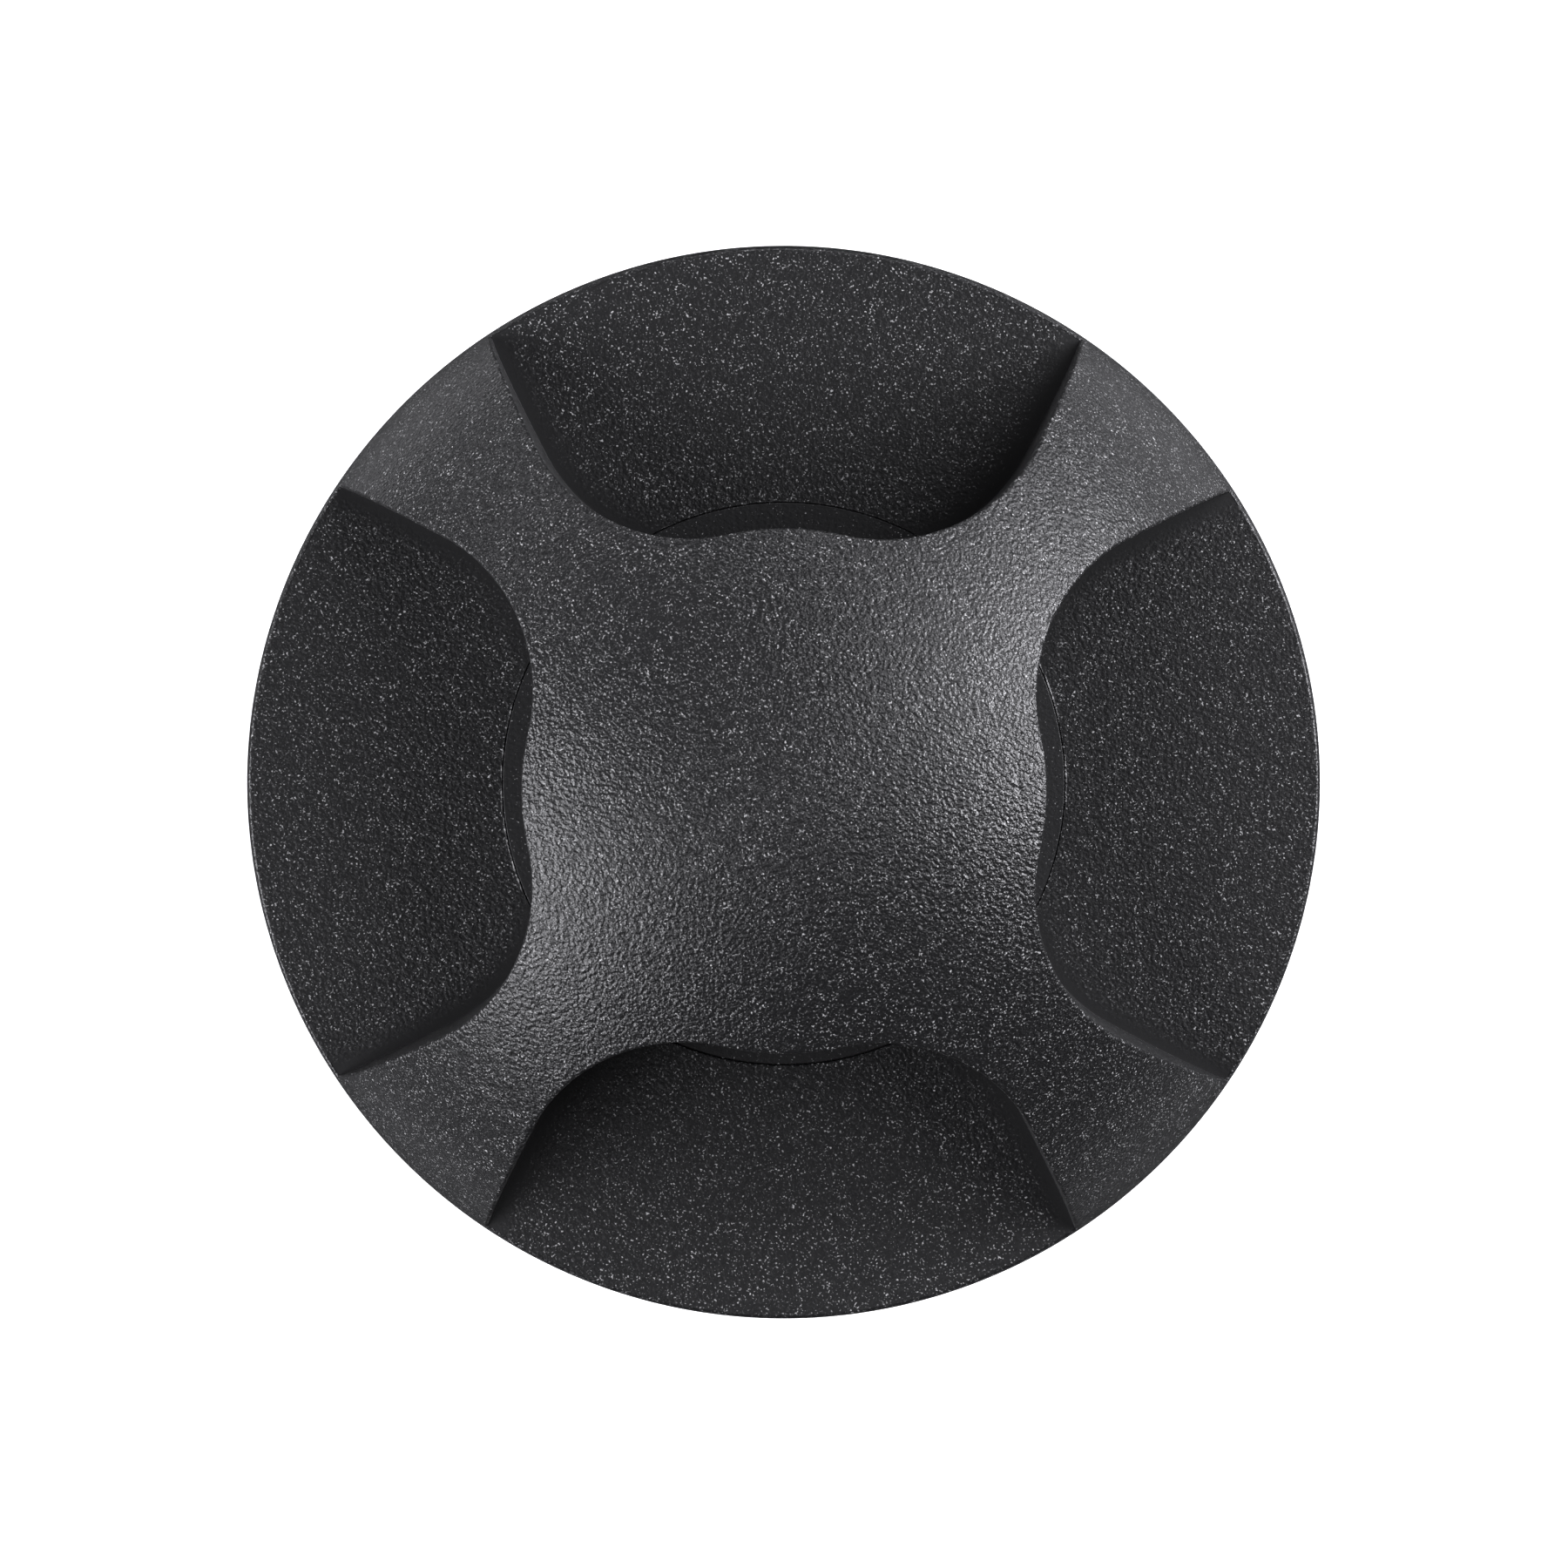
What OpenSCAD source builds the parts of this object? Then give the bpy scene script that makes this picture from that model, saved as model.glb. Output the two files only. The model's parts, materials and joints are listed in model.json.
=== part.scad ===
// Grip medicine ball: two moulded half shells, each with an X of grip ribs over four finger
// windows, closed round a rigid weighted core. Millimetres, +Z through the middle of the X.

/* [Ball] */
// Diameter of the ball
ball_d = 240; // [230:5:270]
// Width and depth of the bevel along the parting line of the shells
parting_bevel = 0.6; // [0.3:0.1:1.2]

/* [Grip windows] */
// Height of the window floors above the parting plane
ledge_h = 20; // [18:1:26]
// Width of a grip rib at its foot, where it is narrowest
rib_w = 30; // [26:1:34]
// Angle by which each side of a rib opens towards the rim
rib_flare = 14.8; // [11:0.2:18]
// Radius of the round hub at the foot of its wall
hub_r = 58.4; // [57:0.1:62]
// Radius of the inner corners of a window at its floor
corner_r = 35; // [31:1:38]
// Draft of the window walls, in degrees
draft = 2.5; // [1.5:0.5:4]
// Radius of the cove between the window walls and the floor
cove_r = 1; // [0.5:0.25:3]
// Width of the bevel along the edges of the ribs
edge_bevel = 0.5; // [0.3:0.1:1.5]

/* [Core] */
// Radius of the core inside the hub
core_r = 48; // [46:0.5:50]
// Height of each core half above the parting plane
core_h = 90; // [84:1:98]
// Thickness of the core's end walls
core_wall = 8; // [7:0.5:9]
// Width of core flange that shows on the window floors, round the hub
flange_show = 3.9; // [3.6:0.1:6]
// Bevel on the edges of the core
core_bevel = 0.3; // [0.2:0.1:1]
// Gap of the seam between the core flange and the shells
seam_gap = 0.35; // [0.2:0.05:0.5]
// Width of the keys that stop the core from turning
key_w = 14; // [10:1:18]
// How far the keys stand out of the flange
key_out = 9; // [6:1:12]
// Height of the keys above the parting plane
key_h = 11; // [8:1:14]

/* [Ballast] */
// Diameter of the cast ballast discs
ballast_d = 71; // [68:1:72]
// Thickness of each ballast disc
ballast_h = 24; // [20:1:40]
// Bevel on the edges of the ballast discs
ballast_bevel = 2; // [1:0.5:3]
// Thickness of the foam sleeve round the ballast
sleeve_t = 4.1; // [3:0.1:5]
// Thickness of the end pads
pad_t = 6; // [4:0.5:8]
// Outside diameter of the spacer tube between the discs
spacer_d = 30; // [28:1:34]
// Clearance between pieces that are dropped into each other
fit_gap = 0.2; // [0.1:0.05:0.3]

/* [Fasteners] */
// Diameter of the tie bolt through the ballast
tie_d = 12; // [10:1:12]
// Across-flats size of the tie bolt's head and nut
tie_af = 19; // [18:0.5:20]
// Height of the tie bolt's head
tie_head_h = 7.5; // [6:0.5:9]
// Height of the tie nut
tie_nut_h = 10; // [8:0.5:11]
// Outside diameter of the tie washers
washer_d = 24; // [23:1:26]
// Thickness of the tie washers
washer_t = 2.5; // [2:0.5:3]
// Number of screws that clamp the core halves
screws = 8; // [6:1:12]
// Diameter of the core screws
screw_d = 5; // [4:0.5:5]
// Diameter of the screw heads
screw_head_d = 8.5; // [7.5:0.1:8.6]
// Height of the screw heads
screw_head_h = 5; // [4:0.5:6]
// Across-flats size of the hexagon sockets in the screw heads
socket_af = 4; // [3:0.5:4]
// Length of the core screws under the head
screw_len = 25; // [22:1:30]
// Outside diameter of the threaded inserts
insert_d = 7.2; // [6.6:0.1:8]
// Length of the threaded inserts
insert_h = 12; // [10:1:14]

/* [Seals and joints] */
// Thickness of the seal ring between the core halves
seal_d = 2.5; // [2:0.1:3]
// Radius of the joint ring that lines up the shells
ring_r = 92; // [88:1:96]
// Width of the joint ring
ring_w = 6; // [4:1:8]
// Height of the joint ring
ring_h = 16; // [10:1:20]

/* [Hidden] */
$fn = 96;
grips = 4;
slop = 1;
thin = 0.2;
cove_steps = 4;
corner_steps = 12;
hub_steps = 3;
side_steps = 8;
ball_r = ball_d / 2;

// Window outline: a hub arc, a corner arc that touches it, and a straight side to the rim
rib_step = 360 / grips;
side_angle = rib_step / 2 - rib_flare;
corner_dist = hub_r + corner_r;
corner_turn = rib_step / 2 - asin((rib_w / 2 + corner_r) / corner_dist);
corner = corner_dist * [sin(corner_turn), cos(corner_turn)];
side_lean = [cos(side_angle), -sin(side_angle)];
side_run = [sin(side_angle), cos(side_angle)];
side_start = corner + corner_r * side_lean;
side_l = sqrt(pow(side_start * side_run, 2) + ball_r * ball_r - ledge_h * ledge_h
              - side_start * side_start) - side_start * side_run;
cove_in = cove_r * tan(45 - draft / 2);
tool_top = ball_r + slop;

// Core, from the parting plane up
flange_r = hub_r + flange_show;
sleeve_r = ballast_d / 2 + fit_gap;
cavity_r = sleeve_r + sleeve_t + fit_gap;
cavity_h = core_h - core_wall;
seal_r = (core_r + cavity_r) / 2;
seal_groove = seal_d + 2 * fit_gap;
screw_r = (core_r + hub_r) / 2;
screw_seat = ledge_h - screw_head_h - 2 * fit_gap;
bore_gap = fit_gap / 2;

// Ballast stack, from the parting plane up
pad_top = cavity_h - fit_gap;
ballast_top = pad_top - pad_t - fit_gap;
ballast_foot = ballast_top - ballast_h;
tie_proud = 1;
tie_seat = ballast_top - washer_t - tie_nut_h - 2 * tie_proud;
recess_r = tie_af / sqrt(3) + washer_t;

// ---- window tool ----

function around(a) = [cos(a), sin(a)];

// Stations along the right half of a window's outline, from the middle of the hub to past the
// rim: a point at the foot of the wall, and the direction in which the wall leans outwards
half_stations = concat(
    [for (i = [0:hub_steps - 1])
        let (u = around(90 - corner_turn * i / hub_steps))
        [hub_r * u, -u]],
    [for (i = [0:corner_steps])
        let (u = around(-90 - corner_turn + (90 + corner_turn - side_angle) * i / corner_steps))
        [corner + corner_r * u, u]],
    [for (i = [1:side_steps])
        [side_start + (side_l + slop) * sin(90 * i / side_steps) * side_run, side_lean]],
    [[side_start + ball_r * side_run, side_lean]]);

// All of them, counterclockwise from past the rim on the right
stations =
    let (last = len(half_stations) - 1)
    concat([half_stations[last]],
           [for (i = [last:-1:1]) [for (v = half_stations[i]) [-v[0], v[1]]]],
           [half_stations[0]],
           [for (i = [1:last - 1]) half_stations[i]]);

// How far up the drafted wall, from its foot at this station, the ball's surface lies
function wall_reach(foot, lean) =
    let (k = foot * lean * sin(draft) + ledge_h * cos(draft))
    sqrt(max(0, k * k + ball_r * ball_r - ledge_h * ledge_h - foot * foot)) - k;

// A section through the tool at one station, as growth along its lean and height: up the cove
// and the wall, then out of the ball through the bevel of the rib's edge
function section(foot, lean) =
    let (wall = [sin(draft), cos(draft)],
         top = max(wall_reach(foot, lean), cove_in + thin),
         bevel = min(edge_bevel, (top - cove_in) / 2),
         edge = [0, ledge_h] + top * wall,
         from_axis = foot * lean + edge[0],
         skin = [edge[1], -from_axis] / norm([edge[1], from_axis]),
         out = edge + bevel * skin + slop * (wall + skin) / norm(wall + skin))
    concat([for (i = [0:cove_steps])
               let (a = -90 + (90 - draft) * i / cove_steps)
               [cove_r * cos(a) - cove_in, ledge_h + cove_r * (1 + sin(a))]],
           [edge - bevel * wall, out, [out[0], tool_top]]);

// The floor is a fan round a point in the middle of the window, which keeps its triangles wide
module window() {
    n = len(stations);
    sections = [for (s = stations) section(s[0], s[1])];
    last = len(sections[0]) - 1;
    polyhedron(
        points = concat(
            [for (k = [0:last], i = [0:n - 1])
                let (p = stations[i][0] + sections[i][k][0] * stations[i][1])
                [p[0], p[1], sections[i][k][1]]],
            [[0, (hub_r + ball_r) / 2, ledge_h]]),
        faces = concat(
            [for (i = [0:n - 1]) [i, (i + 1) % n, (last + 1) * n]],
            [for (k = [0:last - 1], i = [0:n - 1])
                let (next = (i + 1) % n, low = k * n, high = low + n)
                each i < n / 2
                    ? [[low + i, high + i, high + next], [low + i, high + next, low + next]]
                    : [[low + i, high + i, low + next], [high + i, high + next, low + next]]],
            [[for (i = [n - 1:-1:0]) last * n + i]]));
}

// ---- shells ----

module half_ball() {
    difference() {
        sphere(ball_r);
        translate([0, 0, -ball_d / 2])
            cube([2 * ball_d, 2 * ball_d, ball_d], center = true);
    }
}

module parting_groove() {
    rotate_extrude()
        polygon([[ball_r - parting_bevel, -slop], [ball_r - parting_bevel, 0],
                 [ball_r + slop, parting_bevel + slop], [ball_r + slop, -slop]]);
}

module keys(gap) {
    for (i = [0:grips - 1])
        rotate(rib_step * (i + 0.5))
            translate([core_r, -key_w / 2 - gap, -slop])
                cube([flange_r + key_out + gap - core_r, key_w + 2 * gap, key_h + gap + slop]);
}

module core_space() {
    translate([0, 0, -slop]) {
        cylinder(r = flange_r + seam_gap, h = ledge_h + fit_gap + slop);
        cylinder(r = core_r + fit_gap, h = core_h + fit_gap + slop);
    }
    keys(fit_gap);
}

module ring_space() {
    rotate_extrude()
        translate([ring_r - ring_w / 2 - fit_gap, -slop])
            square([ring_w + 2 * fit_gap, ring_h / 2 + fit_gap + slop]);
}

module grip_shell() {
    difference() {
        half_ball();
        for (i = [0:grips - 1])
            rotate(rib_step * i)
                window();
        core_space();
        ring_space();
        parting_groove();
    }
}

module upper_grip_shell() {
    color("#303235")
        grip_shell();
}

module lower_grip_shell() {
    color("#303235")
        mirror([0, 0, 1])
            grip_shell();
}

module joint_ring() {
    color("dimgray")
        rotate_extrude()
            translate([ring_r - ring_w / 2, -ring_h / 2])
                square([ring_w, ring_h]);
}

// ---- core ----

module core_half() {
    rotate_extrude()
        polygon([[cavity_r, 0], [flange_r, 0],
                 [flange_r, ledge_h - core_bevel], [flange_r - core_bevel, ledge_h],
                 [core_r, ledge_h],
                 [core_r, core_h - core_bevel], [core_r - core_bevel, core_h],
                 [0, core_h], [0, cavity_h], [cavity_r, cavity_h]]);
    intersection() {
        keys(0);
        cylinder(r = ball_r, h = key_h);
    }
}

module at_screws() {
    for (i = [0:screws - 1])
        rotate(360 * (i + 0.5) / screws)
            translate([screw_r, 0, 0])
                children();
}

module upper_core() {
    color("#3a3c40")
        difference() {
            core_half();
            at_screws() {
                translate([0, 0, -slop])
                    cylinder(d = screw_d + 2 * fit_gap, h = ledge_h + 2 * slop);
                translate([0, 0, screw_seat])
                    cylinder(d = screw_head_d + 2 * fit_gap, h = ledge_h);
            }
        }
}

module lower_core() {
    color("#3a3c40")
        difference() {
            mirror([0, 0, 1])
                core_half();
            rotate_extrude()
                translate([seal_r - seal_groove / 2, -seal_d - fit_gap])
                    square([seal_groove, seal_d + fit_gap + slop]);
            at_screws()
                translate([0, 0, -insert_h - fit_gap])
                    cylinder(d = insert_d + 2 * bore_gap, h = insert_h + fit_gap + slop);
            at_screws()
                translate([0, 0, -screw_len + screw_seat - slop])
                    cylinder(d = screw_d + 2 * fit_gap, h = screw_len);
        }
}

module core_seal() {
    color("black")
        rotate_extrude()
            translate([seal_r, -(seal_d + fit_gap) / 2])
                circle(d = seal_d);
}

module core_screws() {
    color("silver")
        at_screws()
            difference() {
                union() {
                    translate([0, 0, screw_seat])
                        cylinder(d = screw_head_d, h = screw_head_h);
                    translate([0, 0, screw_seat - screw_len])
                        cylinder(d = screw_d, h = screw_len + screw_head_h / 2);
                }
                translate([0, 0, screw_seat + screw_head_h / 2])
                    cylinder(d = socket_af * 2 / sqrt(3), h = screw_head_h, $fn = 6);
            }
}

module core_inserts() {
    color("goldenrod")
        at_screws()
            translate([0, 0, -insert_h])
                difference() {
                    cylinder(d = insert_d, h = insert_h - fit_gap);
                    translate([0, 0, -slop])
                        cylinder(d = screw_d + 2 * bore_gap, h = insert_h + 2 * slop);
                }
}

// ---- ballast stack ----

module ballast_disc() {
    r = ballast_d / 2;
    difference() {
        rotate_extrude()
            polygon([[tie_d / 2 + fit_gap, ballast_foot], [r - ballast_bevel, ballast_foot],
                     [r, ballast_foot + ballast_bevel], [r, ballast_top - ballast_bevel],
                     [r - ballast_bevel, ballast_top], [tie_d / 2 + fit_gap, ballast_top]]);
        translate([0, 0, tie_seat])
            cylinder(r = recess_r, h = ballast_top);
    }
}

module upper_ballast() {
    color("#5a5d60")
        ballast_disc();
}

module lower_ballast() {
    color("#5a5d60")
        mirror([0, 0, 1])
            ballast_disc();
}

module ballast_spacer() {
    color("gainsboro")
        difference() {
            cylinder(d = spacer_d, h = 2 * ballast_foot, center = true);
            cylinder(d = tie_d + 2 * fit_gap, h = 2 * ballast_foot + slop, center = true);
        }
}

module ballast_sleeve() {
    color("#77736a")
        difference() {
            cylinder(r = sleeve_r + sleeve_t, h = 2 * ballast_top, center = true);
            cylinder(r = sleeve_r, h = 2 * ballast_top + slop, center = true);
        }
}

module end_pad() {
    translate([0, 0, pad_top - pad_t])
        cylinder(r = cavity_r - fit_gap, h = pad_t);
}

module upper_pad() {
    color("#4b4e46")
        end_pad();
}

module lower_pad() {
    color("#4b4e46")
        mirror([0, 0, 1])
            end_pad();
}

module hexagon(h) {
    cylinder(d = tie_af * 2 / sqrt(3), h = h, $fn = 6);
}

module tie_bolt() {
    seat = tie_seat + washer_t;
    tip = -seat - tie_nut_h - tie_proud;
    color("silver") {
        translate([0, 0, seat])
            hexagon(tie_head_h);
        translate([0, 0, tip])
            cylinder(d = tie_d, h = seat - tip + tie_head_h / 2);
    }
}

module tie_nut() {
    color("silver")
        translate([0, 0, -tie_seat - washer_t - tie_nut_h])
            difference() {
                hexagon(tie_nut_h);
                translate([0, 0, -slop])
                    cylinder(d = tie_d + 2 * bore_gap, h = tie_nut_h + 2 * slop);
            }
}

module tie_washers() {
    color("lightgray")
        for (side = [0, 1])
            mirror([0, 0, side])
                translate([0, 0, tie_seat])
                    difference() {
                        cylinder(d = washer_d, h = washer_t);
                        translate([0, 0, -slop])
                            cylinder(d = tie_d + 2 * bore_gap, h = washer_t + 2 * slop);
                    }
}

upper_grip_shell();
lower_grip_shell();
upper_core();
lower_core();
core_seal();
core_screws();
core_inserts();
upper_ballast();
lower_ballast();
ballast_spacer();
ballast_sleeve();
upper_pad();
lower_pad();
tie_bolt();
tie_washers();
tie_nut();
joint_ring();
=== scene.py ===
import json
from math import asin, cos, pi, radians, sin, sqrt, tan

import bmesh
import bpy
import numpy as np
from mathutils import Matrix, Vector


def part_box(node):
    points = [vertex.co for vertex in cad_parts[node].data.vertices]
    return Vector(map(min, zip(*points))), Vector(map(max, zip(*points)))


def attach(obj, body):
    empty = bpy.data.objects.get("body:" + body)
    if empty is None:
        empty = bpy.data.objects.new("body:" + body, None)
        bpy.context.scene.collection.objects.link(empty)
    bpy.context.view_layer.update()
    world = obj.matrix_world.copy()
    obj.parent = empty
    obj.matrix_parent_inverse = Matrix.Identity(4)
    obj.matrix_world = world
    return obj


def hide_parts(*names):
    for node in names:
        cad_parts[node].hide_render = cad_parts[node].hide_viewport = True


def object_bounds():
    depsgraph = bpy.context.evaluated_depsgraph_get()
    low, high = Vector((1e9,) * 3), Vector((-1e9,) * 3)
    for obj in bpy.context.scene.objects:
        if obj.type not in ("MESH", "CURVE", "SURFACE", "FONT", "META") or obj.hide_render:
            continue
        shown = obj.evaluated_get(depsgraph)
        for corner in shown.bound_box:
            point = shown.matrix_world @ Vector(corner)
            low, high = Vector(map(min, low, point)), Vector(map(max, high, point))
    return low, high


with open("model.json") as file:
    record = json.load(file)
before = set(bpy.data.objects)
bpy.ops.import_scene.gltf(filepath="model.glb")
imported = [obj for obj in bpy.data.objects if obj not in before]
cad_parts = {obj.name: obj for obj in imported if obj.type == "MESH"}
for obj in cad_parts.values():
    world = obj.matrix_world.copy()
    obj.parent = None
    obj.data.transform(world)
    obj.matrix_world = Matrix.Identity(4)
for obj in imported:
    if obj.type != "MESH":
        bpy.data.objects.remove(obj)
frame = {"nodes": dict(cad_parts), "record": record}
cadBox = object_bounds()
record = frame["record"]
print("frame loaded,", len(frame["nodes"]), "nodes")


# half shells: four finger windows sunk into a hemisphere; metres, unless a note says otherwise
shell = {
    "ledgeHeight": 0.020,       # window floors above the parting plane
    "ribCount": 4,
    "ribWidth": 0.030,          # grip rib at its foot, where it is narrowest
    "ribFlare": 14.8,           # degrees that each side of a rib opens towards the rim
    "hubRadius": 0.0584,
    "cornerRadius": 0.035,      # inner corners of a window
    "draft": 2.5,               # degrees, sets where the walls' upper edges lie
    "wallLean": 0.2,            # degrees that the walls themselves stand off upright
    "coveRadius": 0.00004,      # between the walls and the floor, next to nothing
    "edgeRadius": 0.0007,       # rounding of the ribs' and the rim's edges
    "sharpAngle": 35,           # degrees past which two faces meet in a sharp edge
    "seamGap": 0.00012,         # between the shell and the core's flange
    "partingBevel": 0.0006,
    "coreRadius": 0.0482,       # space for the core inside the hub
    "coreClearance": 0.0002,
    "ringSpace": (0.0952, 0.0888, 0.0082),  # outer and inner radius and depth of the joint ring's groove
    "quietBand": 0.007,         # floor beside a wall where the grain fades and the colour darkens to the painted shade
    "bareBand": (0.0015, 0.0095),   # and where the painted glints begin and are full; beside a wall there are none, as in its shade
    "wallFade": 0.01,           # height in which grain and painted glints reach their strength on a wall; below it the colour is a darker painted shade
    "floorGrain": 0.4,          # strength of the grain on the windows' floors, where the ribs have 1; less grain also darkens the colour towards the painted shade
    "floorGlints": 1.6,         # the same for the painted glints
    "wallGrain": 0.7,           # the same for both on the walls, whose colour is partly the darker painted shade
}
shellCells = {
    "hub": 22,          # along the rib's edge, as far as the seam's end
    "side": 74,         # from there to where the edge meets the floor
    "corner": 4,        # from there to the rim's corner
    "seam": 14,
    "cove": 3,          # rows up the cove
    "fillet": 6,        # rows round an edge
    "closeRow": (0.0005, 0.2),  # height of the rows at a wall's ends, and the most of the wall they take
    "coveShare": 0.6,           # most of a low wall that the cove takes
    "wallShares": (0.25, 0.5, 0.75),    # where the other rows lie, as shares of the way across
    "floorShares": (0, 0.006, 0.03, 0.08, 0.15, 0.24, 0.34, 0.45, 0.56, 0.67, 0.78, 0.87, 0.94, 0.975,
                    0.992, 1),
    "ballShares": (0, 0.012, 0.05, 0.11, 0.18, 0.26, 0.34, 0.42, 0.5, 0.58, 0.66, 0.74, 0.82, 0.9, 0.96, 1),
    "measuring": 4001,          # points at which the edge's length is measured
    "noHeight": 1e-9,           # a wall lower than this has no way up
    "mergeDistance": 5e-7,
}

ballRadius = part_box("upper_grip_shell")[1].z
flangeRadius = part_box("upper_core")[1].x
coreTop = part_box("upper_core")[1].z

ribStep = 2 * pi / shell["ribCount"]
midRib = ribStep / 2
draft = radians(shell["draft"])
sideAngle = midRib - radians(shell["ribFlare"])
cornerReach = shell["hubRadius"] + shell["cornerRadius"]
cornerTurn = midRib - asin((shell["ribWidth"] / 2 + shell["cornerRadius"]) / cornerReach)
cornerCentre = cornerReach * np.array([sin(cornerTurn), cos(cornerTurn)])
hubLength = shell["hubRadius"] * cornerTurn
cornerLength = shell["cornerRadius"] * (pi / 2 + cornerTurn - sideAngle)
coveTurn = pi / 2 - draft
coveLength = shell["coveRadius"] * coveTurn
coveIn = shell["coveRadius"] * tan(coveTurn / 2)
seamRadius = flangeRadius + shell["seamGap"]
rimRadius = sqrt(ballRadius ** 2 - shell["ledgeHeight"] ** 2)
bevelTurn = asin(shell["partingBevel"] / ballRadius)
floorAt = shellCells["hub"] + shellCells["side"]    # station where the ribs' edge meets the floor
cornerAt = floorAt + shellCells["corner"]           # station at the rim's corner
rimCells = shellCells["seam"] + shellCells["side"] - shellCells["corner"]


def unit(vectors):
    # each vector divided by its length
    return vectors / np.linalg.norm(vectors, axis=-1, keepdims=True)


def dot(a, b):
    # sum of the products of the coordinates
    return (a * b).sum(-1)


def easeIn(share):
    # rises smoothly from 0 to 1 with a level start and end
    share = np.clip(share, 0, 1)
    return share * share * (3 - 2 * share)


def atHeight(flat, z):
    # a flat point or direction with its third coordinate
    return np.concatenate([flat, np.broadcast_to(z, flat.shape[:-1])[..., None]], axis=-1)


def ring(azimuth, radius, height):
    # points round the ball's axis; azimuth counts from the middle of the window
    around = np.stack([np.sin(azimuth), np.cos(azimuth)], -1)
    return atHeight(around * np.asarray(radius)[..., None], height)


def spread(*stops):
    # even steps between the stops, given as value, cells, value, cells, value ...
    runs = [np.linspace(stops[i], stops[i + 2], stops[i + 1] + 1)[1:] for i in range(0, len(stops) - 2, 2)]
    return np.concatenate([[stops[0]]] + runs)


def between(inner, outer, shares):
    # straight lines from one path to the other
    share = np.array(shares)[:, None, None]
    return inner * (1 - share) + outer * share


def nearestDistance(points, path):
    # distance of each point of a grid to the nearest point of a path
    gap = points[:, :, None, :2] - path[None, None, :, :2]
    return np.sqrt((gap ** 2).sum(-1)).min(-1)


def bisect(inside, low, high, halvings=50):
    # where inside(x) turns false, for whole arrays, by halving the span between low and high
    low, high = np.array(low, float), np.array(high, float)
    for halving in range(halvings):
        middle = (low + high) / 2
        within = inside(middle)
        low, high = np.where(within, middle, low), np.where(within, high, middle)
    return (low + high) / 2


def outlineAt(s, grow):
    # point at length s along half a window's outline, moved out by grow: a hub arc about the
    # ball's axis, a corner arc that touches it, then a straight side; also the outward normal
    # and how fast the moved point travels with s
    hubTurn = s / shell["hubRadius"]
    turn = (s - hubLength) / shell["cornerRadius"] - pi / 2 - cornerTurn
    hubNormal = -np.stack([np.sin(hubTurn), np.cos(hubTurn)], -1)
    cornerNormal = np.stack([np.cos(turn), np.sin(turn)], -1)
    sideNormal = np.broadcast_to([cos(sideAngle), -sin(sideAngle)], hubNormal.shape)
    past = (s - hubLength - cornerLength)[..., None] * np.array([sin(sideAngle), cos(sideAngle)])
    onHub = (s <= hubLength)[..., None]
    onCorner = (s <= hubLength + cornerLength)[..., None]
    normal = np.where(onHub, hubNormal, np.where(onCorner, cornerNormal, sideNormal))
    foot = np.where(onHub, -shell["hubRadius"] * hubNormal,
                    cornerCentre + shell["cornerRadius"] * normal + np.where(onCorner, 0, past))
    bend = np.where(onHub[..., 0], -1 / shell["hubRadius"],
                    np.where(onCorner[..., 0], 1 / shell["cornerRadius"], 0))
    return foot + normal * grow[..., None], normal, 1 + grow * bend


def profileAt(t):
    # outward growth and height at length t up the wall's profile: flat floor below zero, a cove
    # of constant radius, then the drafted wall; also the slope there
    slope = np.clip(t / shell["coveRadius"], 0, coveTurn)
    past = np.maximum(t - coveLength, 0)
    grow = shell["coveRadius"] * np.sin(slope) - coveIn + np.minimum(t, 0) + past * sin(draft)
    height = shell["ledgeHeight"] + shell["coveRadius"] * (1 - np.cos(slope)) + past * cos(draft)
    return grow, height, slope


def windowPoint(s, t):
    # the window's surface: its profile carried along its outline
    grow, height = profileAt(t)[:2]
    return atHeight(outlineAt(s, grow)[0], height)


def insideBall(points):
    # true for points nearer to the ball's centre than its surface is
    return np.linalg.norm(points, axis=-1) < ballRadius


def wallTop(s):
    # length up the profile at which the wall leaves the ball
    return bisect(lambda t: insideBall(windowPoint(s, t)), np.zeros_like(s), np.full_like(s, 2 * ballRadius))


def roundedEdge(point, wallNormal, along):
    # a fillet of constant radius between the window's surface and the ball: its centre lies on the
    # line that halves the edge's angle, and each row turns from the wall's normal to the ball's
    ballNormal = unit(point)
    tangent = unit(np.cross(ballNormal, wallNormal))
    tangent *= np.sign(dot(tangent, along))[..., None]
    onWall = np.cross(wallNormal, tangent)
    onWall *= -np.sign(dot(onWall, ballNormal))[..., None]
    onBall = np.cross(ballNormal, tangent)
    onBall *= -np.sign(dot(onBall, wallNormal))[..., None]
    half = np.arccos(np.clip(dot(onWall, onBall), -1, 1)) / 2
    reach = shell["edgeRadius"] / np.tan(half)
    centre = point + unit(onWall + onBall) * (shell["edgeRadius"] / np.sin(half))[..., None]
    share = np.linspace(0, 1, shellCells["fillet"] + 1)[:, None, None]
    turn = pi - 2 * half[:, None]
    normals = (np.sin((1 - share) * turn) * wallNormal + np.sin(share * turn) * ballNormal) / np.sin(turn)
    rows = centre + shell["edgeRadius"] * normals
    rows[-1] = ballRadius * unit(rows[-1])
    return rows, onWall, reach


def wallEdge(s):
    # the rounded edge above the walls, and where it leaves the wall, as lengths along and up it
    t = wallTop(s)
    grow, height, slope = profileAt(t)
    flat, normal, speed = outlineAt(s, grow)
    along = atHeight(np.stack([-normal[..., 1], normal[..., 0]], -1), np.zeros_like(s))
    up = atHeight(normal * np.cos(slope)[..., None], np.sin(slope))
    wallNormal = atHeight(-normal * np.sin(slope)[..., None], np.cos(slope))
    rows, onWall, reach = roundedEdge(atHeight(flat, height), wallNormal, along)
    sFoot = s + reach * dot(onWall, along) / speed
    tFoot = t + reach * dot(onWall, up)
    rows[0] = windowPoint(sFoot, tFoot)
    return rows, sFoot, tFoot


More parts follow.
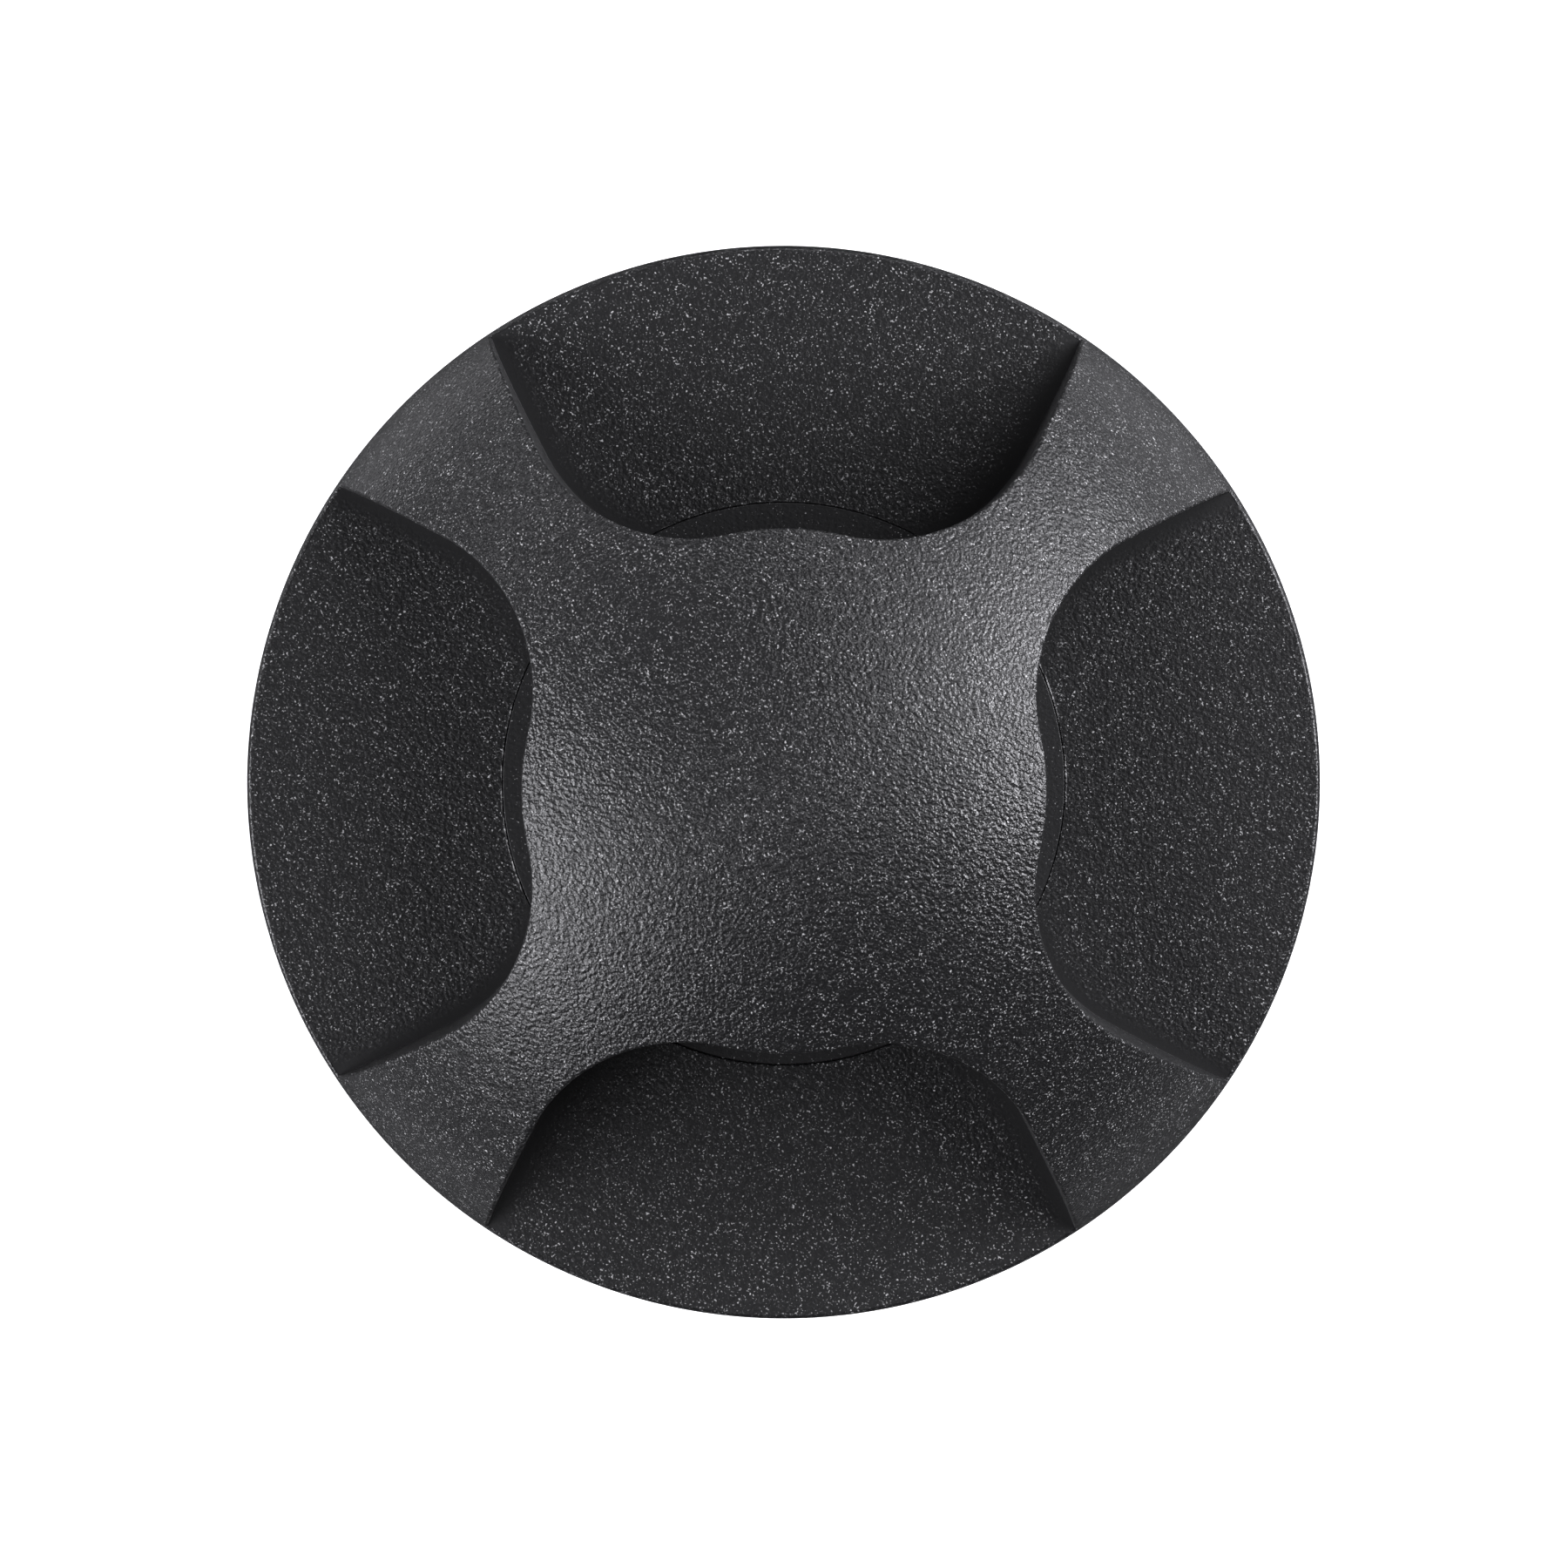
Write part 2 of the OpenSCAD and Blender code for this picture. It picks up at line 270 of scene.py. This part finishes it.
def rimEdge(azimuth):
    # the rounded edge of the window's floor along the rim
    point = ring(azimuth, rimRadius, shell["ledgeHeight"])
    along = ring(azimuth - pi / 2, 1.0, 0.0)
    upward = np.broadcast_to([0.0, 0.0, 1.0], point.shape)
    return roundedEdge(point, upward, along)[0]


def leanOut(s, height, top):
    # flat step that stands a wall up from its draft to its lean about its upper edge
    normal = outlineAt(s, np.zeros_like(s))[1]
    return normal * ((top - height) * (tan(draft) - tan(radians(shell["wallLean"]))))[..., None]


def seamMeeting(topAt):
    # length along the outline at which the leaned wall's foot crosses the seam
    def inside(s):
        foot = windowPoint(s, 0 * s)[..., :2] + leanOut(s, shell["ledgeHeight"], topAt(s))
        return np.linalg.norm(foot, axis=-1) < seamRadius
    return float(bisect(inside, [hubLength], [hubLength + cornerLength / 2])[0])


def ribStations(rimCorner):
    # lengths along the outline that are evenly spaced by the length of the ribs' edge, from the
    # middle of the hub to the seam's end, from there to the floor and from there to the rim's corner
    seamEnd = seamMeeting(lambda s: profileAt(wallTop(s))[1])
    sFine = rimCorner * (1 - (1 - np.linspace(0, 1, shellCells["measuring"])) ** 3)
    rows, sFoot, tFoot = wallEdge(sFine)
    length = np.concatenate([[0], np.cumsum(np.linalg.norm(np.diff(rows[-1], axis=0), axis=-1))])
    first = int(np.argmax(tFoot < 0))
    share = tFoot[first - 1] / (tFoot[first - 1] - tFoot[first])
    floorLength = length[first - 1] + share * (length[first] - length[first - 1])
    seamLength = np.interp(seamEnd, sFoot[:first], length[:first])
    stations = spread(0.0, shellCells["hub"], seamLength, shellCells["side"], floorLength,
                      shellCells["corner"], length[-1])
    return np.interp(stations, length, sFine)


def wallGrid(edge, sFoot, tFoot):
    # walls from foot to edge: up the cove, then evenly up, with close rows at both ends, all leaned
    # about the upper edge; the column at the seam's end slides along the outline as it climbs, so
    # that its foot stands on the seam
    top = tFoot[:floorAt + 1]
    coveTop = np.minimum(coveLength, shellCells["coveShare"] * top)
    width, most = shellCells["closeRow"]
    close = np.minimum(width, most * (top - coveTop))
    rows = [coveTop * k / shellCells["cove"] for k in range(shellCells["cove"] + 1)] + [coveTop + close]
    rows += [coveTop + (top - coveTop) * share for share in shellCells["wallShares"]] + [top - close, top]
    t = np.array(rows)
    sWall = sFoot[:floorAt + 1].copy()
    sWall[shellCells["hub"]] = seamMeeting(lambda s: edge[0, shellCells["hub"], 2])
    reached = np.divide(t, top, out=np.ones_like(t), where=top > shellCells["noHeight"])
    sGrid = sWall * (1 - reached) + sFoot[:floorAt + 1] * reached
    walls = windowPoint(sGrid, t)
    walls[-1] = edge[0, :floorAt + 1]
    walls[..., :2] += leanOut(sGrid, walls[..., 2], walls[-1, :, 2])
    walls[:, 0, 0] = 0
    return walls


def ballGrid(border, outerAzimuth):
    # the ball from the rounded edges out to a far side, which runs from the pole down the middle of
    # the rib to the parting bevel and then level round the rim
    around = border[-1]
    elevation = np.arcsin(around[:, 2] / ballRadius)
    azimuth = np.arctan2(around[:, 0], around[:, 1])[:cornerAt + 1]
    widest = int(np.argmax(azimuth))
    rise = easeIn(azimuth / azimuth[widest])
    rise[widest:] = 1
    far = elevation[:cornerAt + 1] + (pi / 2 - elevation[:cornerAt + 1]) * (1 - rise)
    far[widest:] -= np.linspace(0, 1, cornerAt + 1 - widest) ** 2 * (elevation[cornerAt] - bevelTurn)
    far = np.concatenate([far, np.full(rimCells, bevelTurn)])
    farSide = ring(outerAzimuth, 1.0, 0.0) * np.cos(far)[:, None]
    farSide[:, 2] = np.sin(far)
    return ballRadius * unit(between(around, ballRadius * farSide, shellCells["ballShares"]))


def partingGrid(ball, outerAzimuth, boreAzimuth):
    # from the ball's lower border in over the bevel, the parting face and the joint ring's groove,
    # then up the bore round the flange
    ringOut, ringIn, ringDepth = shell["ringSpace"]
    profile = [(ballRadius - shell["partingBevel"], 0), (ringOut, 0), (ringOut, ringDepth),
               (ringIn, ringDepth), (ringIn, 0)]
    return np.array([ball[-1, cornerAt:]] + [ring(outerAzimuth[cornerAt:], r, z) for r, z in profile]
                    + [ring(boreAzimuth, seamRadius, z) for z in (0, shell["ledgeHeight"])])


def hubGrid(foot, boreAzimuth):
    # underside of the hub: from the foot of its wall and the bore a step up and in, then level to
    # the space for the core, up to its roof and in to the axis
    lip = np.concatenate([foot[:shellCells["hub"] + 1],
                          ring(boreAzimuth[::-1][shellCells["seam"] + 1:], seamRadius, shell["ledgeHeight"])])
    azimuth = np.arctan2(lip[:, 0], lip[:, 1])
    radius = np.linalg.norm(lip[:, :2], axis=-1)
    ceiling = shell["ledgeHeight"] + shell["coreClearance"]
    roof = coreTop + shell["coreClearance"]
    return np.array([lip, ring(azimuth, radius - shell["seamGap"], ceiling),
                     ring(azimuth, shell["coreRadius"], ceiling),
                     ring(azimuth, shell["coreRadius"], roof), ring(azimuth, 0.0, roof)])


def painted(grid, grain, glints):
    # a grid of points with the strength of its grain and painted glints behind the coordinates
    parts = [np.broadcast_to(value, grid.shape[:2])[..., None] for value in (grain, glints)]
    return np.concatenate([grid] + parts, axis=-1)


def shellPatches():
    # one eighth of a half shell, from the middle of a window to the middle of a rib, as grids
    start = hubLength + cornerLength
    rimCorner = float(bisect(lambda s: insideBall(windowPoint(s, 0 * s)), [start], [start + ballRadius])[0])
    edge, sFoot, tFoot = wallEdge(ribStations(rimCorner))
    sFoot[0] = 0
    edge[:, 0, 0] = 0
    tFoot[floorAt] = 0
    edge[0] = windowPoint(sFoot, tFoot)

    # the rim, with as many cells as the floor's inner border needs
    cornerPoint = windowPoint(np.array([rimCorner]), np.zeros(1))[0]
    rimAzimuth = np.linspace(np.arctan2(cornerPoint[0], cornerPoint[1]), 0, rimCells + 1)
    border = np.concatenate([edge, rimEdge(rimAzimuth)[:, 1:]], axis=1)

    # floor: from the seam and the foot of the wall out to the rim
    walls = wallGrid(edge, sFoot, tFoot)
    foot = walls[0]
    seamEnd = foot[shellCells["hub"]]
    seamAzimuth = np.linspace(0, np.arctan2(seamEnd[0], seamEnd[1]), shellCells["seam"] + 1)
    seam = ring(seamAzimuth, seamRadius, shell["ledgeHeight"])
    inner = np.concatenate([seam, foot[shellCells["hub"] + 1:]])
    floor = between(inner, border[0, floorAt:][::-1], shellCells["floorShares"])

    outerAzimuth = np.concatenate([np.full(cornerAt + 1, midRib), midRib * rimAzimuth[1:] / rimAzimuth[0]])
    boreAzimuth = spread(midRib, rimCells - shellCells["seam"], seamAzimuth[-1], shellCells["seam"], 0.0)
    ball = ballGrid(border, outerAzimuth)
    parting = partingGrid(ball, outerAzimuth, boreAzimuth)
    under = hubGrid(foot, boreAzimuth)

    # grain and painted glints: full on the ball, another strength on floors and walls, none where these meet;
    # less grain darkens the colour to a painted shade, and the glints thin out beside the walls as in their
    # shade
    wallDistance = nearestDistance(floor, foot)
    bare, full = shell["bareBand"]
    grain = shell["floorGrain"] * easeIn(wallDistance / shell["quietBand"])
    glints = shell["floorGlints"] * easeIn((wallDistance - bare) / (full - bare))
    onWalls = shell["wallGrain"] * easeIn((walls[..., 2] - shell["ledgeHeight"]) / shell["wallFade"])
    upFillet = np.linspace(shell["wallGrain"], 1, border.shape[0])[:, None]
    return [painted(walls, onWalls, onWalls), painted(floor, grain, glints),
            painted(border, upFillet, upFillet), painted(ball, 1, 1), painted(parting, 1, 1),
            painted(under, 1, 1)]


def joinPatches(patches, turns):
    # every patch, mirrored and turned, as one list of points, quads and painted values
    points, quads, values, count = [], [], [], 0
    for grid in patches:
        rows, columns = grid.shape[:2]
        index = np.arange(rows * columns).reshape(rows, columns)
        face = np.stack([index[:-1, :-1], index[:-1, 1:], index[1:, 1:], index[1:, :-1]], -1).reshape(-1, 4)
        for side in (1, -1):
            for k in range(turns):
                a = 2 * pi * k / turns
                turned = grid[..., :3].reshape(-1, 3) * np.array([side, 1, 1])
                turned = turned @ np.array([[cos(a), -sin(a), 0], [sin(a), cos(a), 0], [0, 0, 1]])
                points.append(turned)
                quads.append(face + count)
                values.append(grid[..., 3:].reshape(-1, 2))
                count += rows * columns
    return np.concatenate(points), np.concatenate(quads), np.concatenate(values)


def buildShell(name, node, patches, lower):
    # the patches joined and merged to one closed mesh; the lower shell is the upper one upside down
    points, quads, paint = joinPatches(patches, shell["ribCount"])
    if lower:
        points = points * np.array([1, 1, -1])
    mesh = bpy.data.meshes.new(name)
    mesh.from_pydata(points, [], quads)
    for layer, amounts in zip(("grain", "glints"), paint.T.astype(np.float32)):
        mesh.attributes.new(layer, "FLOAT", "POINT").data.foreach_set("value", np.ascontiguousarray(amounts))
    work = bmesh.new()
    work.from_mesh(mesh)
    bmesh.ops.remove_doubles(work, verts=work.verts, dist=shellCells["mergeDistance"])
    bmesh.ops.recalc_face_normals(work, faces=work.faces)
    work.to_mesh(mesh)
    work.free()
    mesh.polygons.foreach_set("use_smooth", np.ones(len(mesh.polygons), bool))
    mesh.set_sharp_from_angle(angle=radians(shell["sharpAngle"]))
    piece = bpy.data.objects.new(name, mesh)
    bpy.context.scene.collection.objects.link(piece)
    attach(piece, "root")
    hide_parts(node)
    return piece


patches = shellPatches()
upperShell = buildShell("upper_shell_moulding", "upper_grip_shell", patches, False)
lowerShell = buildShell("lower_shell_moulding", "lower_grip_shell", patches, True)
print("shells built,", len(upperShell.data.polygons), "faces each")


def feed(tree, socket, value):
    # joins a socket to another one, or sets it to a number, vector or colour
    if isinstance(value, bpy.types.NodeSocket):
        tree.links.new(value, socket)
    else:
        socket.default_value = value


def addNode(tree, kind, **values):
    # a new node with its inputs joined or set by name
    node = tree.nodes.new(kind)
    for name, value in values.items():
        feed(tree, node.inputs[name], value)
    return node


def mathNode(tree, operation, a, b, clamp=False):
    # an operation on a and b, each a socket or a number
    node = tree.nodes.new("ShaderNodeMath")
    node.operation = operation
    node.use_clamp = clamp
    feed(tree, node.inputs[0], a)
    feed(tree, node.inputs[1], b)
    return node.outputs[0]


def rangeNode(tree, value, fromLow, fromHigh, toLow=0.0, toHigh=1.0):
    # turns one range smoothly into another, level at both ends
    node = tree.nodes.new("ShaderNodeMapRange")
    node.interpolation_type = "SMOOTHSTEP"
    for label, given in (("Value", value), ("From Min", fromLow), ("From Max", fromHigh),
                         ("To Min", toLow), ("To Max", toHigh)):
        feed(tree, node.inputs[label], given)
    return node.outputs["Result"]


def scaleColour(tree, colour, factor):
    # a fixed colour made darker or lighter by a factor that changes over the surface
    node = tree.nodes.new("ShaderNodeVectorMath")
    node.operation = "SCALE"
    node.inputs[0].default_value = colour
    tree.links.new(factor, node.inputs["Scale"])
    return node.outputs[0]


def mixColour(tree, factor, a, b):
    # from a to b as the factor rises; either is a socket or a colour
    node = tree.nodes.new("ShaderNodeMix")
    node.data_type = "RGBA"
    tree.links.new(factor, node.inputs[0])
    for socket, value in ((node.inputs[6], a), (node.inputs[7], b)):
        feed(tree, socket, value if isinstance(value, bpy.types.NodeSocket) else (*value, 1))
    return node.outputs[2]


def attributeNode(tree, name):
    # a value that is painted on the mesh
    node = tree.nodes.new("ShaderNodeAttribute")
    node.attribute_name = name
    return node.outputs["Fac"]


def addBump(tree, surface, height, distance):
    # height from 0 to 1 stands for distance metres
    bump = addNode(tree, "ShaderNodeBump", Distance=distance, Height=height)
    tree.links.new(bump.outputs["Normal"], surface.inputs["Normal"])


def newGroup(name, output, **inputs):
    # a node group with Place, some number inputs and one number output
    group = bpy.data.node_groups.new(name, "ShaderNodeTree")
    group.interface.new_socket(name="Place", in_out="INPUT", socket_type="NodeSocketVector")
    for label, value in inputs.items():
        socket = group.interface.new_socket(name=label, in_out="INPUT", socket_type="NodeSocketFloat")
        socket.default_value = value
    group.interface.new_socket(name=output, in_out="OUTPUT", socket_type="NodeSocketFloat")
    return group, group.nodes.new("NodeGroupInput").outputs, group.nodes.new("NodeGroupOutput").inputs


# the noises behind the grain, the painted glints and the clouds of tone
patterns = {
    "pebbleTurn": (0.5, 0.7, 0.4),      # radians, so that the noise's own grid follows no face
    "pebbleDetail": 1.4,
    "glintTurn": (0.3, 0.8, 0.6),
    "glintDetail": 1.0,
    "glintPower": 1.3,                  # the higher, the smaller each painted glint's bright middle
    "patchDetail": 1.0,
    "patchRange": (0.38, 0.6),          # noise at which the painted glints are fewest and most
    "cloudDetail": 4.0,
    "cloudRange": (0.3, 0.7),
}


def pebbleGroup():
    # moulded grain: small uneven grains, as a spark-eroded mould leaves them
    group, given, made = newGroup("pebbleGrain", "Height", Cells=1500.0, Fine=0.5)
    turned = addNode(group, "ShaderNodeMapping", Vector=given["Place"], Rotation=patterns["pebbleTurn"])
    grains = addNode(group, "ShaderNodeTexNoise", Vector=turned.outputs[0], Scale=given["Cells"],
                     Detail=patterns["pebbleDetail"], Roughness=given["Fine"])
    group.links.new(grains.outputs[0], made["Height"])
    return group


def glintGroup():
    # painted glints: tiny pale dots for the grain's glints, the crests of a fine noise that stand above Low,
    # thinned out in patches
    group, given, made = newGroup("paintedGlints", "Mask", Cells=2000.0, Low=0.57, High=0.8, Patches=350.0,
                                  Thinned=0.3)
    turned = addNode(group, "ShaderNodeMapping", Vector=given["Place"], Rotation=patterns["glintTurn"])
    crests = addNode(group, "ShaderNodeTexNoise", Vector=turned.outputs[0], Scale=given["Cells"],
                     Detail=patterns["glintDetail"])
    dots = mathNode(group, "POWER", rangeNode(group, crests.outputs[0], given["Low"], given["High"]),
                    patterns["glintPower"])
    patchNoise = addNode(group, "ShaderNodeTexNoise", Vector=given["Place"], Scale=given["Patches"],
                         Detail=patterns["patchDetail"])
    thinning = rangeNode(group, patchNoise.outputs[0], *patterns["patchRange"], given["Thinned"], 1.0)
    group.links.new(mathNode(group, "MULTIPLY", dots, thinning), made["Mask"])
    return group


def wearGroup():
    # slow clouds of tone, as on handled rubber
    group, given, made = newGroup("toneClouds", "Factor", Scale=18.0, Low=0.85, High=1.15)
    noise = addNode(group, "ShaderNodeTexNoise", Vector=given["Place"], Scale=given["Scale"],
                    Detail=patterns["cloudDetail"])
    factor = rangeNode(group, noise.outputs[0], *patterns["cloudRange"], given["Low"], given["High"])
    group.links.new(factor, made["Factor"])
    return group


pebbleGrain = pebbleGroup()
paintedGlints = glintGroup()
toneClouds = wearGroup()


def useGroup(tree, group, place, **values):
    # places a group and gives back its one output
    node = tree.nodes.new("ShaderNodeGroup")
    node.node_tree = group
    tree.links.new(place, node.inputs["Place"])
    for label, value in values.items():
        node.inputs[label].default_value = value
    return node.outputs[0]


def newMaterial(name):
    # a material, its nodes, its shader and the piece's own coordinates
    material = bpy.data.materials.new(name)
    material.use_nodes = True
    tree = material.node_tree
    place = tree.nodes.new("ShaderNodeTexCoord").outputs["Object"]
    return material, tree, tree.nodes["Principled BSDF"], place


rubber = {
    "base": (0.0126, 0.0127, 0.0133),
    "wall": (0.0105, 0.0105, 0.011),    # painted shade: the darker colour on the walls, beside them and partly on the floors, where there is no grain
    # painted glints: the colour of the pale dots that stand for the grain's glints
    "glintColour": (0.58, 0.58, 0.585),
    "roughness": 0.30,
    "bareRoughness": 0.40,      # where there is no grain
    "grainCells": 1150.0,       # per metre
    "grainDepth": 0.00044,      # metres
    "glintCells": 2080.0,
    "glintLow": 0.57,           # the lower, the more painted glints
    "glintHigh": 0.80,
    "glintFaint": 0.12,         # taken off where the painted glints are fewer and stronger than on the ribs
    "clouds": {"Scale": 16.0, "Low": 0.9, "High": 1.1},
}
# the core's flange has fewer painted glints and hardly any grain
flangePlastic = {**rubber, "glintLow": 0.66, "grainDepth": 0.00006}


def pebbledMaterial(name, values, isPainted):
    # a dark moulded surface with grain and pale dots painted as glints; a piece painted with their strengths
    # carries how strong both are, and where it has no grain it is rougher and its colour is a darker painted
    # shade, while another is smoother on its painted glints
    material, tree, surface, place = newMaterial(name)
    clouds = useGroup(tree, toneClouds, place, **values["clouds"])
    glintMask = useGroup(tree, paintedGlints, place, Cells=values["glintCells"], Low=values["glintLow"],
                    High=values["glintHigh"])
    height = useGroup(tree, pebbleGrain, place, Cells=values["grainCells"])
    base = scaleColour(tree, values["base"], clouds)
    # less rough where this is high: on the painted glints, or on a painted piece where its grain is full and
    # the painted shade least
    smoother = glintMask
    if isPainted:
        smoother = attributeNode(tree, "grain")
        # the painted glints thin out beside the walls, as in their shade, and are fewer and stronger on the
        # floors
        share = attributeNode(tree, "glints")
        faint = mathNode(tree, "MULTIPLY", mathNode(tree, "SUBTRACT", share, 1.0, True), values["glintFaint"])
        glintMask = mathNode(tree, "SUBTRACT", mathNode(tree, "MULTIPLY", glintMask, share), faint, True)
        height = mathNode(tree, "MULTIPLY", height, smoother)
        # less grain, on the walls, beside them and on the floors, darkens the colour to a painted shade
        base = mixColour(tree, smoother, values["wall"], base)
    roughness = rangeNode(tree, smoother, 0.0, 1.0, values["bareRoughness"], values["roughness"])
    # pale dots over the base colour: painted glints
    tree.links.new(mixColour(tree, glintMask, base, values["glintColour"]), surface.inputs["Base Color"])
    tree.links.new(roughness, surface.inputs["Roughness"])
    addBump(tree, surface, height, values["grainDepth"])
    return material


# what lies inside the ball, by slot: material, colour, roughness, metallic, depth of grain in metres
innerParts = {
    "seal_rubber": ("sealRubber", (0.015, 0.015, 0.015), 0.5, 0.0, 0.0),
    "damping_rubber": ("dampingRubber", (0.05, 0.05, 0.047), 0.7, 0.0, 0.00005),
    "sleeve_foam": ("sleeveFoam", (0.2, 0.2, 0.19), 0.9, 0.0, 0.0003),
    "screw_steel": ("zincPlatedSteel", (0.62, 0.62, 0.61), 0.3, 1.0, 0.0),
    "insert_brass": ("turnedBrass", (0.72, 0.55, 0.25), 0.3, 1.0, 0.0),
    "ballast_iron": ("castIron", (0.12, 0.12, 0.125), 0.65, 0.8, 0.0002),
    "spacer_nylon": ("naturalNylon", (0.7, 0.7, 0.66), 0.45, 0.0, 0.0),
}
innerClouds = {"Scale": 60.0, "Low": 0.88, "High": 1.1}
innerGrainCells = 900.0         # per metre


def plainMaterial(name, colour, roughness, metallic, grain):
    # one colour with slow clouds of tone, and with grain where its depth is given
    material, tree, surface, place = newMaterial(name)
    clouds = useGroup(tree, toneClouds, place, **innerClouds)
    tree.links.new(scaleColour(tree, colour, clouds), surface.inputs["Base Color"])
    tree.links.new(mathNode(tree, "MULTIPLY", clouds, roughness), surface.inputs["Roughness"])
    surface.inputs["Metallic"].default_value = metallic
    if grain:
        addBump(tree, surface, useGroup(tree, pebbleGrain, place, Cells=innerGrainCells), grain)
    return material


finishes = {slot: plainMaterial(*values) for slot, values in innerParts.items()}
finishes["core_plastic"] = pebbledMaterial("pebbledCore", flangePlastic, False)
finishes["shell_rubber"] = pebbledMaterial("pebbledRubber", rubber, True)


def paint(piece, material):
    piece.data.materials.clear()
    piece.data.materials.append(material)


for part in record["subparts"]:
    paint(frame["nodes"][part["node"]], finishes[part["material_slot"]])
paint(upperShell, finishes["shell_rubber"])
paint(lowerShell, finishes["shell_rubber"])
print("materials made")


studio = {
    "floorSize": 20.0,
    "floorColour": (0.9, 0.9, 0.9),
    "floorRoughness": 0.8,
    "floorGlow": 0.75,
    "skyStrength": 0.01,
    "lampDistance": 2.4,
    "lampColour": (1.0, 0.995, 1.045),
    # name: azimuth from +X and elevation in degrees, width and height in metres, power in watts
    "lights": {
        "sideRight": (12, 21, 1.12, 1.38, 75.0),
        "highRight": (50, 45, 0.90, 0.76, 10.0),
        "topRight": (18, 66, 1.04, 0.67, 6.5),
        "sideLeft": (185, 15, 0.98, 1.38, 39.0),
        "shoulderLeft": (207, 28, 1.13, 1.02, 29.0),
        "topLeft": (208, 63, 1.16, 0.67, 7.2),
        "lowRight": (42, 4, 1.02, 0.50, 15.4),
        "lowLeft": (130, 4, 0.84, 0.50, 5.5),
        "back": (90, 15, 0.82, 1.02, 10.0),
        "highBack": (127, 48, 0.79, 0.59, 1.2),
        "lowFront": (225, 6, 0.84, 0.50, 2.5),
    },
    # cards that lie face up round the ball and light the ribs' feet: name: azimuth and power
    "cards": {
        "cardRight": (42, 0.092),
        "cardLeft": (138, 0.080),
        "cardFrontRight": (-42, 0.024),
        "cardFrontLeft": (222, 0.032),
    },
    "cardPlace": (0.29, 0.001),     # distance from the ball's axis and height above the floor
    "cardSize": (0.20, 0.30),
}
view = {
    "distance": 1.44,
    "offset": (-0.0019, 0.0255),    # of the camera from the ball's axis
    "roll": 0.27,                   # degrees
    "lens": 147.3,                  # millimetres
    "shift": (0.0003, -0.0012),
    "clipEnd": 50,
}

floorMesh = bpy.data.meshes.new("studio_floor")
half = studio["floorSize"] / 2
floorHeight = cadBox[0].z
floorMesh.from_pydata([(-half, -half, floorHeight), (half, -half, floorHeight), (half, half, floorHeight),
                       (-half, half, floorHeight)], [], [(0, 1, 2, 3)])
floorPiece = bpy.data.objects.new("studio_floor", floorMesh)
bpy.context.scene.collection.objects.link(floorPiece)
floorPiece.visible_glossy = False
floorMaterial = bpy.data.materials.new("paleFloor")
floorMaterial.use_nodes = True
floorTree = floorMaterial.node_tree
floorSurface = floorTree.nodes["Principled BSDF"]
floorSurface.inputs["Base Color"].default_value = (*studio["floorColour"], 1)
floorSurface.inputs["Roughness"].default_value = studio["floorRoughness"]
floorSurface.inputs["Emission Color"].default_value = (1, 1, 1, 1)
floorSurface.inputs["Emission Strength"].default_value = studio["floorGlow"]
# from below the floor is clear, so that the underside of the ball can be seen
fromBelow = floorTree.nodes.new("ShaderNodeMixShader")
floorTree.links.new(floorTree.nodes.new("ShaderNodeNewGeometry").outputs["Backfacing"], fromBelow.inputs[0])
floorTree.links.new(floorSurface.outputs[0], fromBelow.inputs[1])
floorTree.links.new(floorTree.nodes.new("ShaderNodeBsdfTransparent").outputs[0], fromBelow.inputs[2])
floorTree.links.new(fromBelow.outputs[0], floorTree.nodes["Material Output"].inputs["Surface"])
floorMesh.materials.append(floorMaterial)


def addLamp(name, width, height, power):
    # a rectangular light at the origin that shines down
    lamp = bpy.data.lights.new(name, "AREA")
    lamp.shape = "RECTANGLE"
    lamp.size = width
    lamp.size_y = height
    lamp.energy = power
    lamp.color = studio["lampColour"]
    light = bpy.data.objects.new(name, lamp)
    bpy.context.scene.collection.objects.link(light)
    return light


for name, (azimuth, elevation, width, height, power) in studio["lights"].items():
    light = addLamp(name, width, height, power)
    level, turn = radians(elevation), radians(azimuth)
    towards = Vector((cos(level) * cos(turn), cos(level) * sin(turn), sin(level)))
    light.location = studio["lampDistance"] * towards
    light.rotation_euler = light.location.to_track_quat("Z", "Y").to_euler()
for name, (azimuth, power) in studio["cards"].items():
    light = addLamp(name, *studio["cardSize"], power)
    distance, lift = studio["cardPlace"]
    turn = radians(azimuth)
    light.location = (distance * cos(turn), distance * sin(turn), floorHeight + lift)
    light.rotation_euler = (pi, 0, turn)
    light.visible_camera = False

world = bpy.data.worlds.new("studioSky")
bpy.context.scene.world = world
world.use_nodes = True
sky = world.node_tree.nodes["Background"]
sky.inputs["Color"].default_value = (1, 1, 1, 1)
# the backdrop is pale to look at and lights the ball only a little
looked = world.node_tree.nodes.new("ShaderNodeLightPath").outputs["Is Camera Ray"]
world.node_tree.links.new(mathNode(world.node_tree, "MAXIMUM", looked, studio["skyStrength"]),
                          sky.inputs["Strength"])
bpy.context.scene.view_settings.view_transform = "Standard"

lens = bpy.data.cameras.new("topCamera")
lens.lens = view["lens"]
lens.shift_x, lens.shift_y = view["shift"]
lens.clip_end = view["clipEnd"]
camera = bpy.data.objects.new("topCamera", lens)
backward = Vector((*view["offset"], view["distance"])).normalized()
roll = radians(view["roll"])
across = Vector((-sin(roll), cos(roll), 0)).cross(backward).normalized()
upward = backward.cross(across)
camera.matrix_world = (Matrix.Translation(backward * view["distance"])
                       @ Matrix((across, upward, backward)).transposed().to_4x4())
bpy.context.scene.collection.objects.link(camera)
bpy.context.scene.camera = camera
print("camera and lights set")
